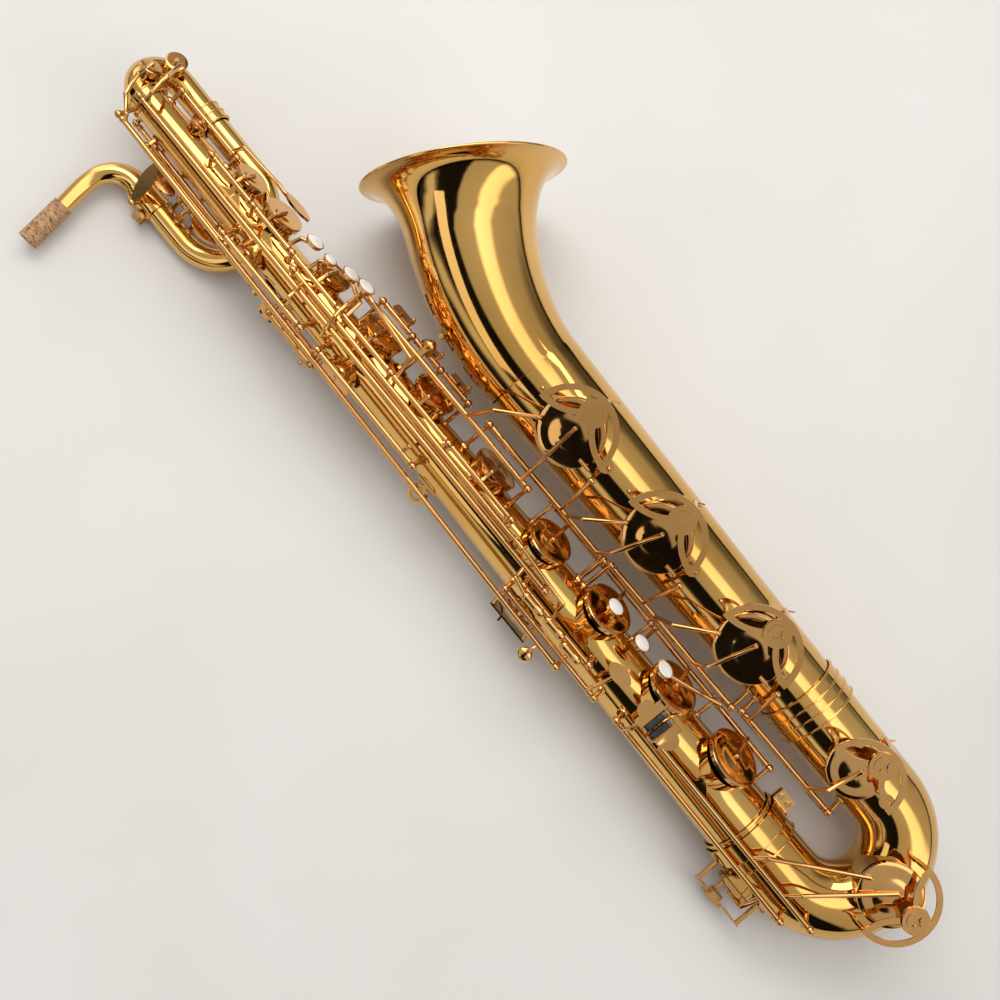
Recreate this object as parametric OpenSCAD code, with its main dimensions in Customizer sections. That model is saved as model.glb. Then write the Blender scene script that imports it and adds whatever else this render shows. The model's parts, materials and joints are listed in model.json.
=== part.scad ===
// Baritone saxophone with low A, lying on its left side.
// It is drawn flat: X runs along the body tube from the top bow to the bottom bow,
// Y runs from the body tube towards the bell, and Z points out of the right-hand side.
// resting() then turns it onto the surface that it lies on.

/* [Body tube] */
// Distance of the body tube's axis from the drawing's centre line
body_y = -17.5; // [-18:0.1:-17]
// Outer radius of the body tube at the top bow
body_r_top = 16.5; // [16.2:0.1:16.8]
// Outer radius of the body tube at the bottom bow
body_r_low = 35.2; // [35:0.1:35.4]
// Wall thickness of the brass tubes
wall = 0.9; // [0.7:0.1:1.1]

/* [Bell] */
// Radius of the bell's rim
rim_r = 96; // [94:0.5:97]
// Angle by which the bell turns away from the body tube
bell_turn = 31.5; // [31:0.1:32]
// Radius of the bell tube where it leaves the bottom bow
bell_r_low = 37.3; // [37.2:0.1:37.5]
// Radius of the bell tube where the flare starts
bell_r_flare = 48.5; // [48:0.1:49]

/* [Neck] */
// Radius of the tube in the upper loop
loop_r = 12.4; // [12.3:0.1:12.5]
// Radius of the mouthpiece cork
cork_r = 10; // [9.8:0.1:10.2]
// Length of the mouthpiece cork
cork_len = 48; // [46:1:50]
// Angle by which the neck is swung up in its receiver
neck_turn = 9; // [6:0.5:12]

/* [Keys] */
// Radius of the steel hinge rods
rod_r = 1.5; // [1.4:0.05:1.5]
// Outer radius of the hinge tubes
hinge_r = 2.7; // [2.5:0.1:2.8]
// Radius of the ball head of a key post
ball_r = 3.9; // [3.7:0.1:3.9]
// Radius of the key arms
arm_r = 2; // [1.8:0.1:2.1]
// Height of a tone-hole chimney above the crest of its tube
chimney_h = 5; // [4.5:0.5:5]
// Angle by which the stack keys stand open
stack_open = 6; // [4:0.5:7]
// Angle by which the low bell keys stand open
bell_open = 7; // [5:0.5:8]
// Radius of the finger pearls
pearl_r = 8.2; // [7.5:0.1:8.5]

/* [Resting] */
// Roll about the long axis that brings the bell rim and the loop down to the surface
lie_roll = 9.80; // [9:0.01:10.6]
// Pitch that brings the bottom bow down to the surface
lie_pitch = 2.29; // [1.5:0.01:3]
// Shift of the drawing's origin along X
shift_x = 0.26; // [-2:0.01:2]
// Shift of the drawing's origin along Y
shift_y = -29.47; // [-32:0.01:-27]
// Height of the drawing's origin above the surface
shift_z = 58.50; // [57:0.01:60]

/* [Hidden] */
// a post stem stops this far from its hinge line, inside the ball
stem_gap = 2.4;
// Height of the holder's floor under a pearl
pearl_seat = 2.4;
// places along the body tube where its taper changes, clear of every chimney
body_stages = [-290, -147, 18, 184];
stage_swell = 0.03;

$fn = 48;
fine = 96;
eps = 0.01;

brass = [0.83, 0.64, 0.29];
dark_brass = [0.72, 0.52, 0.22];
steel = [0.75, 0.74, 0.70];
cork_tan = [0.66, 0.47, 0.32];
felt_brown = [0.38, 0.24, 0.18];

run_gap = 0.05;
bore_r = rod_r + run_gap;
cup_h = 6.4;
pad_gap = 0.3;

// The body tube is a cone from the top bow to the bottom bow.
body_x_top = -494;
body_x_low = 374;
function body_r(x) = body_r_top
    + (x - body_x_top) * (body_r_low - body_r_top) / (body_x_low - body_x_top);

// The bottom bow is a half ring between two short cones.
bow_x = 434;
bow_y = 42;
bow_bend = 59.5;
bow_r = 36.2;

// The bell stem is a cone that leans a little towards the body tube.
bell_x_low = 323;
bell_x_flare = -72;
bell_y_low = bow_y + bow_bend;
bell_y_flare = 98.5;
bell_lean = atan((bell_y_low - bell_y_flare) / (bell_x_low - bell_x_flare));
stem_len = norm([bell_x_low - bell_x_flare, bell_y_low - bell_y_flare]);
function bell_y(x) = bell_y_flare
    + (x - bell_x_flare) * (bell_y_low - bell_y_flare) / (bell_x_low - bell_x_flare);
function bell_r(x) = bell_r_flare
    + (x - bell_x_flare) * (bell_r_low - bell_r_flare) / (bell_x_low - bell_x_flare);

// The upper loop lies in a plane that slopes down under the body tube.
loop_x = -385;
loop_far = [-78.5, -48];
loop_near = [15.8, -28];
loop_slope = atan((loop_near.y - loop_far.y) / (loop_near.x - loop_far.x));
loop_bend = norm(loop_near - loop_far) / 2;
loop_mid = (loop_near + loop_far) / 2;

// The top bow joins the body tube to the upper tube.
top_x = -494;
top_step = loop_near - [body_y, 0];
top_bend = norm(top_step) / 2;
top_dir = top_step / norm(top_step);
top_normal = [0, -top_dir.y, top_dir.x];
upper_r_end = 13.6;

// A half ring is a little slimmer than the two pipes that it joins.
ring_step = 0.15;

// Receiver and neck
receiver_x0 = -451;
receiver_x1 = -422;
tenon_r = 12.1;

// ---------------------------------------------------------------- helpers

// A point beside the body tube: f turns from +Z towards +Y, up is radial, side is tangential.
function by_body(x, f, side, up) =
    [x, body_y + side * cos(f) + up * sin(f), up * cos(f) - side * sin(f)];
function by_bell(x, f, side, up) =
    [x, bell_y(x) + side * cos(f) + up * sin(f), up * cos(f) - side * sin(f)];
// The point of a hinge line that lies at x
function on_rod(rod, x) = rod[0] + (rod[1] - rod[0]) * (x - rod[0].x) / (rod[1].x - rod[0].x);
function mix(a, b, t) = a + (b - a) * t;
function unit(v) = v / norm(v);
function flat_to_3d(x, p) = [x, p.x, p.y];

module resting() {
  translate([shift_x, shift_y, shift_z]) rotate([lie_roll, lie_pitch, 0]) children();
}

// Places children on the body tube with their Z pointing away from its axis.
module on_body(x, f) {
  translate([x, body_y, 0]) rotate([-f, 0, 0]) children();
}

module on_bell(x, f) {
  translate([x, bell_y(x), 0]) rotate([-f, 0, 0]) children();
}

// Stands children on point p with their Z pointing at point q.
module towards(p, q) {
  d = q - p;
  translate(p) rotate([0, acos(d.z / norm(d)), atan2(d.y, d.x)]) children();
}

module bar(p, q, r1, r2) {
  towards(p, q) cylinder(h = norm(q - p), r1 = r1, r2 = r2);
}

// A bent arm through the points, with a slightly fuller ball at each bend.
// The ball where two bars meet, turned so that its poles and seam face away from both
module elbow(p, a, b, r) {
  n = unit(cross(a, b));
  m = -unit(a + b);
  k = cross(n, m);
  multmatrix([[m.x, k.x, n.x, p.x], [m.y, k.y, n.y, p.y], [m.z, k.z, n.z, p.z], [0, 0, 0, 1]])
    sphere(r = r, $fn = 32);
}

module arm(points, r = arm_r) {
  last = len(points) - 1;
  for (i = [1 : last]) {
    bar(points[i - 1], points[i], r, r);
    if (i < last)
      elbow(points[i], unit(points[i - 1] - points[i]), unit(points[i + 1] - points[i]), r * 1.12);
    else
      translate(points[i]) rotate(points[i - 1].x > points[i].x ? 180 : 0) sphere(r = r * 1.12, $fn = 32);
  }
}

// Turns children about a hinge line.
module turned(rod, angle) {
  translate(rod[0]) rotate(a = angle, v = rod[1] - rod[0]) translate(-rod[0]) children();
}

// A key on its hinge tube between two places along X. The steel rod's bore goes through it all.
module on_hinge(rod, x0, x1, angle = 0) {
  a = on_rod(rod, x0);
  b = on_rod(rod, x1);
  turned(rod, angle) difference() {
    union() {
      bar(a, b, hinge_r, hinge_r);
      bar(a, mix(a, b, 2.5 / norm(b - a)), hinge_r + 0.6, hinge_r + 0.6);
      bar(mix(b, a, 2.5 / norm(b - a)), b, hinge_r + 0.6, hinge_r + 0.6);
      children();
    }
    towards(a, b) translate([0, 0, -5]) cylinder(h = norm(b - a) + 10, r = bore_r);
  }
}

// A key cup that stands on a tone hole's rim at Z = 0.
module cup(r) {
  rotate_extrude($fn = 64)
    polygon([[0, 4.4], [r - 1, 4.4], [r - 1, 1.2], [r, 1.2], [r, 4.8], [r - 1.4, 5.7],
             [0.5 * r, 5.9], [0.46 * r, 6.4], [0, 6.4]]);
}

// The leather pad inside a cup
module pad(r) {
  translate([0, 0, pad_gap]) cylinder(h = 3.9, r = r - 1.4, $fn = 64);
}

// Cup and pad over a tone hole on the body tube
module body_cup(x, f, r, lift = 0) {
  on_body(x, f) translate([0, 0, body_r(x) + chimney_h + lift]) cup(r);
}

module body_pad(x, f, r) {
  color(felt_brown) on_body(x, f) translate([0, 0, body_r(x) + chimney_h]) pad(r);
}

function cup_top(x) = body_r(x) + chimney_h + cup_h;

// A finger pearl with its holder, standing on Z = 0
module pearl_holder(r = pearl_r) {
  difference() {
    cylinder(h = 4, r1 = r - 0.2, r2 = r + 1);
    translate([0, 0, pearl_seat]) cylinder(h = 3, r = r + 0.1);
  }
}

module pearl(r = pearl_r) {
  color("whitesmoke") translate([0, 0, pearl_seat + 0.1]) rotate_extrude()
    polygon([[0, 0], [r, 0], [r, 1.8], [0.8 * r, 2.8], [0.4 * r, 3.3], [0, 3.4]]);
}

// Points of a ring around centre c, across direction t, in a plane with the normal n
function ring(c, t, n, r, sides) =
    [for (j = [0 : sides - 1]) c + r * (cos(360 * j / sides) * cross(t, n) + sin(360 * j / sides) * n)];

function tangent(path, i) =
    unit(path[min(i + 1, len(path) - 1)] - path[max(i - 1, 0)]);

// A thin tube swept along a flat path, with its own radius at each point
module swept_tube(path, radii, n, sides) {
  count = len(path);
  outer = [for (i = [0 : count - 1]) ring(path[i], tangent(path, i), n, radii[i], sides)];
  inner = [for (i = [count - 1 : -1 : 0]) ring(path[i], tangent(path, i), n, radii[i] - wall, sides)];
  rings = concat(outer, inner);
  total = len(rings);
  points = [for (one = rings) for (p = one) p];
  faces = [for (i = [0 : total - 1]) for (j = [0 : sides - 1])
           let (a = i * sides + j, b = i * sides + (j + 1) % sides,
                c = ((i + 1) % total) * sides + (j + 1) % sides, d = ((i + 1) % total) * sides + j)
           for (f = [[a, b, c], [a, c, d]]) f];
  polyhedron(points = points, faces = faces, convexity = 6);
}

// ---------------------------------------------------------------- tone holes and hinges

// Tone holes of the body tube: place, direction and cup radius
right_f = 46;
left_f = 68;
d_x = 312;
d_cup = 28;
e_x = 229;
e_cup = 26.5;
f_x = 138;
f_cup = 26;
f_sharp_x = 57.5;
f_sharp_cup = 23.4;
g_sharp_x = -24;
g_sharp_cup = 23.5;
g_x = -112;
g_cup = 22.3;
a_x = -185;
a_cup = 22.8;
bis_x = -255;
bis_cup = 18;
b_x = -326.5;
b_cup = 20;
c_x = -371;
c_cup = 16.8;
side_f = -60;
side_c_x = -318;
side_c_cup = 17;
side_b_flat_x = -181;
side_b_flat_cup = 18.5;
trill_x = 91;
trill_f = -94;
trill_cup = 16;
palm_f = 200;
palm_d_x = -462;
palm_e_x = -425;
palm_cup = 11.5;
rim_step = 3.4;

body_holes = [[d_x, right_f, d_cup], [e_x, right_f, e_cup], [f_x, right_f, f_cup],
              [f_sharp_x, right_f, f_sharp_cup], [g_sharp_x, left_f, g_sharp_cup],
              [g_x, left_f, g_cup], [a_x, left_f, a_cup], [bis_x, left_f, bis_cup],
              [b_x, left_f, b_cup], [c_x, left_f, c_cup], [side_c_x, side_f, side_c_cup],
              [side_b_flat_x, side_f, side_b_flat_cup], [trill_x, trill_f, trill_cup],
              [palm_d_x, palm_f, palm_cup], [palm_e_x, palm_f, palm_cup]];

// Tone holes of the bell stem and the bottom bow
bell_f = -11;
low_a_x = -6.6;
low_a_cup = 32;
low_b_flat_x = 113;
low_b_flat_cup = 32.5;
low_b_x = 241;
low_b_cup = 33;
bell_holes = [[low_a_x, low_a_cup], [low_b_flat_x, low_b_flat_cup], [low_b_x, low_b_cup]];
low_c_sharp_x = 386;
low_c_sharp_cup = 27;
low_c_at = [487, 46];
low_c_cup = 30;
e_flat_x = 413;
e_flat_f = -88;
e_flat_cup = 20;

// Hinge lines, each from its upper end to its lower end
upper_stack = [[-404, -4, 31], [20, -3.5, 40]];
lower_stack = [[34, 35.5, 4], [348, 35.5, 4]];
side_c_long = [[-277, -12.6, 34.5], [39, -12.6, 43]];
high_e_rod = [[-486, -20.6, 31.5], [88, -20.6, 42.5]];
high_f_rod = [[-488, -45.8, 24.5], [148, -56.5, 27.5]];
side_c_rod = [[-343, -41, 32], [-233, -41, 34]];
side_b_rod = [[-208, -41.5, 34], [-73, -41.5, 36]];
side_b_long = [[72, -32, 38], [164, -32, 40]];
trill_rod = [[65, -47, 27], [191, -47.5, 30]];
front_f_rod = [[-476, 12, 6], [-396, 12, 7]];
low_a_rod = [[-222, 23.5, 28], [8, 25.5, 30]];
low_b_flat_rod = [[-59, 36, 17], [102, 38, 17]];
low_b_rod = [[110, 40.5, 17], [279, 43.5, 17]];
low_c_sharp_rod = [[288, 48.5, 17], [409, 51, 17]];
low_c_rod = [[247, -28.8, 47], [468, -28.8, 48]];
e_flat_rod = [[219, -44.5, 34], [451, -45.5, 34]];
palm_d_rod = [[-486, -40, -9], [-360, -42, -9]];
palm_e_rod = [[-452, -47, -21], [-394, -47, -21]];
octave_rod = [[-269, -56, 2], [-207, -57, 2]];
vent_rod = [[-458, -45.5, 4], [-342, -47, 4]];
water_rod = [[-415, -55, -37], [-389, -55, -37]];
table_rod = [[-212, 33, -6], [-88, 34, -6]];
low_a_thumb_rod = [[-262, -48, -20], [-215, -48, -20]];

rods = [upper_stack, lower_stack, side_c_long, high_e_rod, high_f_rod, side_c_rod, side_b_rod,
        side_b_long, trill_rod, front_f_rod, low_a_rod, low_b_flat_rod, low_b_rod, low_c_sharp_rod,
        low_c_rod, e_flat_rod, palm_d_rod, palm_e_rod, octave_rod, vent_rod, table_rod,
        low_a_thumb_rod];

upper_posts = [-404, -345, -290, -224, -150, -68, 20];
lower_posts = [34, 101, 176, 268, 348];
table_posts = [-212, -169, -128, -88];

// ---------------------------------------------------------------- tubes

module chimney(up, r) {
  cylinder(h = up + chimney_h, r = r, $fn = 64);
}

// A cone along X from x0 to x1, drawn inset from its skin and longer by extra at both ends
module cone_along(x0, x1, y, r0, r1, inset = 0, extra = 0) {
  slope = (r1 - r0) / (x1 - x0);
  translate([x0 - extra, y, 0]) rotate([0, 90, 0])
    cylinder(h = x1 - x0 + 2 * extra, r1 = r0 - inset - slope * extra, r2 = r1 - inset + slope * extra,
             $fn = fine);
}

// The body tube's cone, drawn over in stages that barely differ in taper
module body_cone(inset = 0, extra = 0) {
  stages = [for (x = body_stages) [body_r(x) + stage_swell - inset, x]];
  translate([0, body_y, 0]) rotate([90, 0, 90]) rotate_extrude($fn = fine)
    polygon(concat([[0, body_x_top - extra], [body_r_top - inset, body_x_top - extra]], stages,
                   [[body_r_low - inset, body_x_low + extra], [0, body_x_low + extra]]));
}

module body_tube() {
  color(brass) resting() difference() {
    union() {
      body_cone();
      for (hole = body_holes)
        on_body(hole[0], hole[1]) chimney(body_r(hole[0]), hole[2] - rim_step + wall);
    }
    body_cone(wall, 1);
    for (hole = body_holes)
      on_body(hole[0], hole[1]) translate([0, 0, 1]) chimney(body_r(hole[0]), hole[2] - rim_step);
  }
}

// One straight leg of the bottom bow
module bow_leg(x0, y, r0, inset = 0, extra = 0) {
  cone_along(x0, bow_x, y, r0, bow_r, inset, extra);
}

module bow_ring(inset, extra) {
  translate([bow_x, bow_y, 0]) rotate([0, 0, -90 - extra])
    rotate_extrude(angle = 180 + 2 * extra, $fn = fine) translate([bow_bend, 0])
      circle(r = bow_r - inset, $fn = fine);
}

module bottom_bow() {
  color(brass) resting() {
    difference() {
      union() {
        bow_leg(body_x_low + 0.5, body_y, body_r_low);
        on_body(e_flat_x, e_flat_f) chimney(bow_r - 1, e_flat_cup - rim_step + wall);
      }
      bow_leg(body_x_low + 0.5, body_y, body_r_low, wall, 1);
      on_body(e_flat_x, e_flat_f) translate([0, 0, 1]) chimney(bow_r - 1, e_flat_cup - rim_step);
    }
    difference() {
      union() {
        bow_leg(bell_x_low + 0.5, bell_y_low, bell_r_low);
        on_leg_two() chimney(bow_r, low_c_sharp_cup - rim_step + wall);
      }
      bow_leg(bell_x_low + 0.5, bell_y_low, bell_r_low, wall, 1);
      on_leg_two() translate([0, 0, 1]) chimney(bow_r, low_c_sharp_cup - rim_step);
    }
    difference() {
      union() {
        bow_ring(0, 0);
        translate([low_c_at.x, low_c_at.y, 0]) chimney(bow_r, low_c_cup - rim_step + wall);
      }
      bow_ring(wall + ring_step, 2);
      translate([low_c_at.x, low_c_at.y, 1]) chimney(bow_r, low_c_cup - rim_step);
    }
  }
}

// The C sharp tone hole stands on the bow's second leg.
module on_leg_two() {
  translate([low_c_sharp_x, bell_y_low, 0]) rotate([-bell_f, 0, 0]) children();
}

// The bell's flare follows an arc and then a short straight run to the rim.
flare_bend = 268;
flare_straight = 46.5;
flare_steps = 13;
flare_end = [bell_x_flare - flare_bend * sin(bell_turn),
             bell_y_flare + flare_bend * (1 - cos(bell_turn)), 0];
flare_dir = [-cos(bell_turn), sin(bell_turn), 0];
flare_arc = [for (i = [0 : flare_steps])
             let (a = bell_turn * i / flare_steps)
             [bell_x_flare - flare_bend * sin(a), bell_y_flare + flare_bend * (1 - cos(a)), 0]];
flare_run = [for (i = [1 : flare_steps])
             flare_end + flare_dir * flare_straight * (1 - pow(1 - i / flare_steps, 1.6))];
flare_path = concat(flare_arc, flare_run);
flare_arc_len = flare_bend * bell_turn * PI / 180;
throat_r = 62;
function flare_r(s) =
    s <= 0 ? bell_r_flare + (throat_r - bell_r_flare) * pow(1 + s / flare_arc_len, 1.15)
    : throat_r + (rim_r - throat_r) * (0.34 * s / flare_straight
      + 0.66 * (1 - pow(1 - pow(s / flare_straight, 3.2), 0.55)));
function flare_s(i) =
    i <= flare_steps ? flare_arc_len * (i / flare_steps - 1)
    : flare_straight * (1 - pow(1 - (i - flare_steps) / flare_steps, 1.6));
flare_radii = [for (i = [0 : 2 * flare_steps]) flare_r(flare_s(i))];

module bell_stem(inset, extra) {
  translate([bell_x_flare - extra, bell_y(bell_x_flare - extra), 0]) rotate([0, 90, bell_lean])
    cylinder(h = stem_len - 0.1 + 2 * extra, r1 = bell_r_flare - inset, r2 = bell_r_low - inset, $fn = fine);
}

module bell() {
  color(brass) resting() {
    translate([0.1, 0, 0]) difference() {
      union() {
        bell_stem(0, 0);
        for (hole = bell_holes)
          on_bell(hole[0], bell_f) chimney(bell_r(hole[0]), hole[1] - rim_step + wall);
      }
      bell_stem(wall, 1);
      for (hole = bell_holes)
        on_bell(hole[0], bell_f) translate([0, 0, 1]) chimney(bell_r(hole[0]), hole[1] - rim_step);
    }
    swept_tube(flare_path, flare_radii, [0, 0, 1], 44);
    towards(flare_end + flare_dir * (flare_straight + 0.1), flare_end + flare_dir * (flare_straight + 10))
      rotate_extrude($fn = fine) translate([rim_r - 0.3, 1.3]) circle(r = 1.4, $fn = 20);
  }
}

// The top bow narrows as it turns back into the upper tube.
top_steps = 16;
top_mid = [top_x, body_y, 0] + [0, top_dir.x, top_dir.y] * top_bend;
function top_at(a) = top_mid + top_bend * ([-sin(a), 0, 0] - cos(a) * [0, top_dir.x, top_dir.y]);
function top_r(a) = body_r_top + (upper_r_end - body_r_top) * a / 180;
upper_stub = 42;
top_path = concat([for (i = [0 : top_steps]) top_at(180 * i / top_steps) - [0.1, 0, 0]],
                  [[top_x + upper_stub / 2, loop_near.x, loop_near.y],
                   [top_x + upper_stub - 0.5, loop_near.x, loop_near.y]]);
top_radii = concat([for (i = [0 : top_steps]) top_r(180 * i / top_steps)],
                   [upper_r_end - 0.2, upper_r_end - 0.4]);

module top_bow() {
  color(brass) resting() swept_tube(top_path, top_radii, top_normal, 28);
}

// The upper loop: a leg from the receiver, a half ring under the body tube and the upper tube
module loop_pipe(x0, x1, at) {
  translate(flat_to_3d(x0, at)) rotate([0, 90, 0]) difference() {
    cylinder(h = x1 - x0, r = loop_r);
    translate([0, 0, -1]) cylinder(h = x1 - x0 + 2, r = loop_r - wall);
  }
}

module loop_ring(inset, extra) {
  translate(flat_to_3d(loop_x, loop_mid)) rotate([loop_slope, 0, 0]) rotate([0, 0, -90 - extra])
    rotate_extrude(angle = 180 + 2 * extra, $fn = fine) translate([loop_bend, 0])
      circle(r = loop_r - ring_step - inset);
}

module upper_loop() {
  color(brass) resting() {
    difference() {
      loop_ring(0, 0);
      loop_ring(wall, 2);
    }
    loop_pipe(receiver_x1 - 1, loop_x, loop_far);
    loop_pipe(top_x + upper_stub, loop_x, loop_near);
  }
}

// ---------------------------------------------------------------- ferrules and clamps

module ferrule(x0, x1, r_in, r_out, beads) {
  rotate([0, 90, 0]) difference() {
    union() {
      translate([0, 0, x0]) cylinder(h = x1 - x0, r = r_out, $fn = fine);
      for (i = [0 : beads - 1])
        translate([0, 0, x0 + 1.2 + i * (x1 - x0 - 2.4) / (beads - 1)])
          rotate_extrude($fn = fine) translate([r_out, 0]) circle(r = 1.1, $fn = 20);
    }
    translate([0, 0, x0 - 2]) cylinder(h = x1 - x0 + 4, r = r_in, $fn = fine);
  }
}

module ferrules() {
  color(brass) resting() {
    translate([0, body_y, 0]) ferrule(366, 403, 36.3, 37.3, 4);
    translate([0, bell_y_low, 0]) ferrule(306, 339, 38.6, 39.6, 4);
    translate([0, body_y, 0]) ferrule(-497, -487, 17.2, 18.1, 2);
    translate([0, loop_near.x, loop_near.y]) ferrule(-462, -443, 13.9, 14.9, 3);
  }
}

clamp_x = 380;
lug_y = [21.2, 33.5];

module bow_clamp() {
  color(brass) resting() difference() {
    union() {
      translate([clamp_x - 9, body_y, 0]) rotate([0, 90, 0]) difference() {
        cylinder(h = 18, r = 40, $fn = fine);
        translate([0, 0, -1]) cylinder(h = 20, r = 38.6, $fn = fine);
      }
      translate([clamp_x - 9, lug_y[0], 2]) cube([18, lug_y[1] - lug_y[0], 4]);
      translate([clamp_x - 9, lug_y[0], -6]) cube([18, lug_y[1] - lug_y[0], 4]);
    }
    translate([clamp_x - 10, 10, -2]) cube([20, 30, 4]);
    for (dx = [-4.6, 4.6])
      translate([clamp_x + dx, 27.5, -8]) cylinder(h = 16, r = 1.7);
  }
}

module screw(head_r, head_h, shank_r, shank_len) {
  difference() {
    union() {
      cylinder(h = head_h, r = head_r);
      translate([0, 0, -shank_len]) cylinder(h = shank_len + eps, r = shank_r);
    }
    translate([-0.4, -head_r - 1, head_h * 0.5]) cube([0.8, 2 * head_r + 2, head_h]);
  }
}

module clamp_screws() {
  color(steel) resting()
    for (dx = [-4.6, 4.6])
      translate([clamp_x + dx, 27.5, 6.1]) screw(3, 2, 1.55, 13);
}

receiver_mid = flat_to_3d(receiver_x0, loop_far);
// Distance of the clamp screw from the receiver's axis
lug_out = 18.4;

module neck_receiver() {
  len = receiver_x1 - receiver_x0;
  color(brass) resting() translate(receiver_mid) difference() {
    union() {
      rotate([0, 90, 0]) cylinder(h = len, r = 13.9);
      rotate([0, 90, 0]) cylinder(h = 5, r = 15);
      translate([len - 4, 0, 0]) rotate([0, 90, 0]) cylinder(h = 4, r = 14.8);
      translate([15, -22.6, 1.2]) cube([10, 11, 4.2]);
      translate([15, -22.6, -5.4]) cube([10, 11, 4.2]);
    }
    translate([-1, 0, 0]) rotate([0, 90, 0]) cylinder(h = len + 2, r = tenon_r + run_gap);
    translate([len - 1.5, 0, 0]) rotate([0, 90, 0]) cylinder(h = 3, r = loop_r + 0.02);
    translate([-1, -24, -1.2]) cube([27, 12.6, 2.4]);
    translate([20, -lug_out, -7]) cylinder(h = 14, r = 2.1);
  }
}

module receiver_screw() {
  color(steel) resting() translate(receiver_mid + [20, -lug_out, 5.6]) {
    difference() {
      union() {
        cylinder(h = 5, r = 4.6);
        translate([0, 0, -14]) cylinder(h = 14 + eps, r = 2.02);
      }
      for (a = [0 : 30 : 330])
        rotate([0, 0, a]) translate([4.9, 0, -1]) cylinder(h = 8, r = 0.7, $fn = 24);
    }
  }
}

brace_x = -150;

module bell_brace() {
  // The lug on each tube carries one half of a threaded link with a ball nut between them.
  bell_skin = bell_y_flare - 50 + 5.2;
  color(brass) resting() {
    translate([brace_x, body_y, 8]) rotate([-90, 0, 0]) {
      translate([0, 0, 22]) cylinder(h = 3, r1 = 9, r2 = 7);
      cylinder(h = 57.5, r = 3.4);
      translate([0, 0, 57]) sphere(r = 6.4);
      translate([0, 0, 51]) cylinder(h = 3, r = 5.4, $fn = 6);
    }
    translate([brace_x, bell_skin - 9, 8]) rotate([-90, 0, 0]) {
      translate([0, 0, 6.5]) cylinder(h = 10, r = 3);
      translate([0, 0, 12]) cylinder(h = 3, r1 = 6, r2 = 9);
    }
  }
}

// ---------------------------------------------------------------- posts, rods and springs

// A post from a tube's skin (distance skin from point axis) to its ball head at point p
module post(axis, skin, p) {
  d = unit(p - axis);
  foot = axis + d * (skin - 0.5);
  bar(foot, foot + d * 1.6, 5.2, 4.4);
  bar(foot, p - d * stem_gap, 2.2, 2.2);
  towards(p, p + d) sphere(r = ball_r, $fn = 32);
}

// A post that leans from its foot on a tube to its ball head at p
module slanted_post(foot, p) {
  d = unit(p - foot);
  translate(foot) sphere(r = 4.2, $fn = 32);
  bar(foot, p - d * stem_gap, 2.4, 2);
  towards(p, p + d) sphere(r = ball_r, $fn = 32);
}

module body_post(rod, x) {
  post([x, body_y, 0], body_r(x), on_rod(rod, x));
}

module bell_post(rod, x) {
  post([x, bell_y_low, 0], bell_r_low + (x < bell_x_low ? 1 : 0), on_rod(rod, x));
}

// Posts that stand straight up from a curved bow
module bow_post(rod, x, z) {
  p = on_rod(rod, x);
  post([p.x, p.y, z - 20], 20, p);
}

// Posts on the leg of the upper loop
module loop_post(rod, x) {
  post(flat_to_3d(x, loop_far), loop_r, on_rod(rod, x));
}

module rod_bore(rod) {
  towards(rod[0], rod[1]) translate([0, 0, -8])
    cylinder(h = norm(rod[1] - rod[0]) + 16, r = bore_r - 0.02);
}

// Both end posts of a hinge line on the body tube
module end_posts(rod) {
  difference() {
    for (p = rod) body_post(rod, p.x);
    rod_bore(rod);
  }
}

module key_posts() {
  color(brass) resting() {
    for (rod = [side_c_long, high_e_rod, high_f_rod, side_c_rod, side_b_rod, side_b_long, trill_rod,
                front_f_rod, low_a_rod, low_b_flat_rod, palm_d_rod, palm_e_rod, octave_rod, vent_rod,
                low_a_thumb_rod])
      end_posts(rod);
    difference() {
      for (x = upper_posts) body_post(upper_stack, x);
      rod_bore(upper_stack);
    }
    difference() {
      for (x = lower_posts) body_post(lower_stack, x);
      rod_bore(lower_stack);
    }
    difference() {
      for (x = table_posts) slanted_post(by_body(x, 125, 0, body_r(x)), on_rod(table_rod, x));
      rod_bore(table_rod);
    }
    difference() {
      body_post(low_b_rod, low_b_rod[0].x);
      rod_bore(low_b_rod);
    }
    difference() {
      bell_post(low_b_rod, low_b_rod[1].x);
      rod_bore(low_b_rod);
    }
    difference() {
      for (p = low_c_sharp_rod) bell_post(low_c_sharp_rod, p.x);
      rod_bore(low_c_sharp_rod);
    }
    difference() {
      union() {
        body_post(low_c_rod, low_c_rod[0].x);
        bow_post(low_c_rod, low_c_rod[1].x, 30.4);
      }
      rod_bore(low_c_rod);
    }
    difference() {
      union() {
        body_post(e_flat_rod, e_flat_rod[0].x);
        bow_post(e_flat_rod, e_flat_rod[1].x, 20);
      }
      rod_bore(e_flat_rod);
    }
    difference() {
      for (p = water_rod) loop_post(water_rod, p.x);
      rod_bore(water_rod);
    }
  }
}

module hinge_rods() {
  color(steel) resting()
    for (rod = concat(rods, [water_rod]))
      towards(rod[0], rod[1]) translate([0, 0, -4.4])
        cylinder(h = norm(rod[1] - rod[0]) + 8.8, r = rod_r);
}

// A needle spring runs from a post's ball along the hinge tube, just beside it.
module needle(rod, x, out) {
  p = on_rod(rod, x);
  q = on_rod(rod, x + (x < (rod[0].x + rod[1].x) / 2 ? 26 : -26));
  bar(p + out * 3.8, q + out * 4.4, 0.4, 0.3);
}

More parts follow.
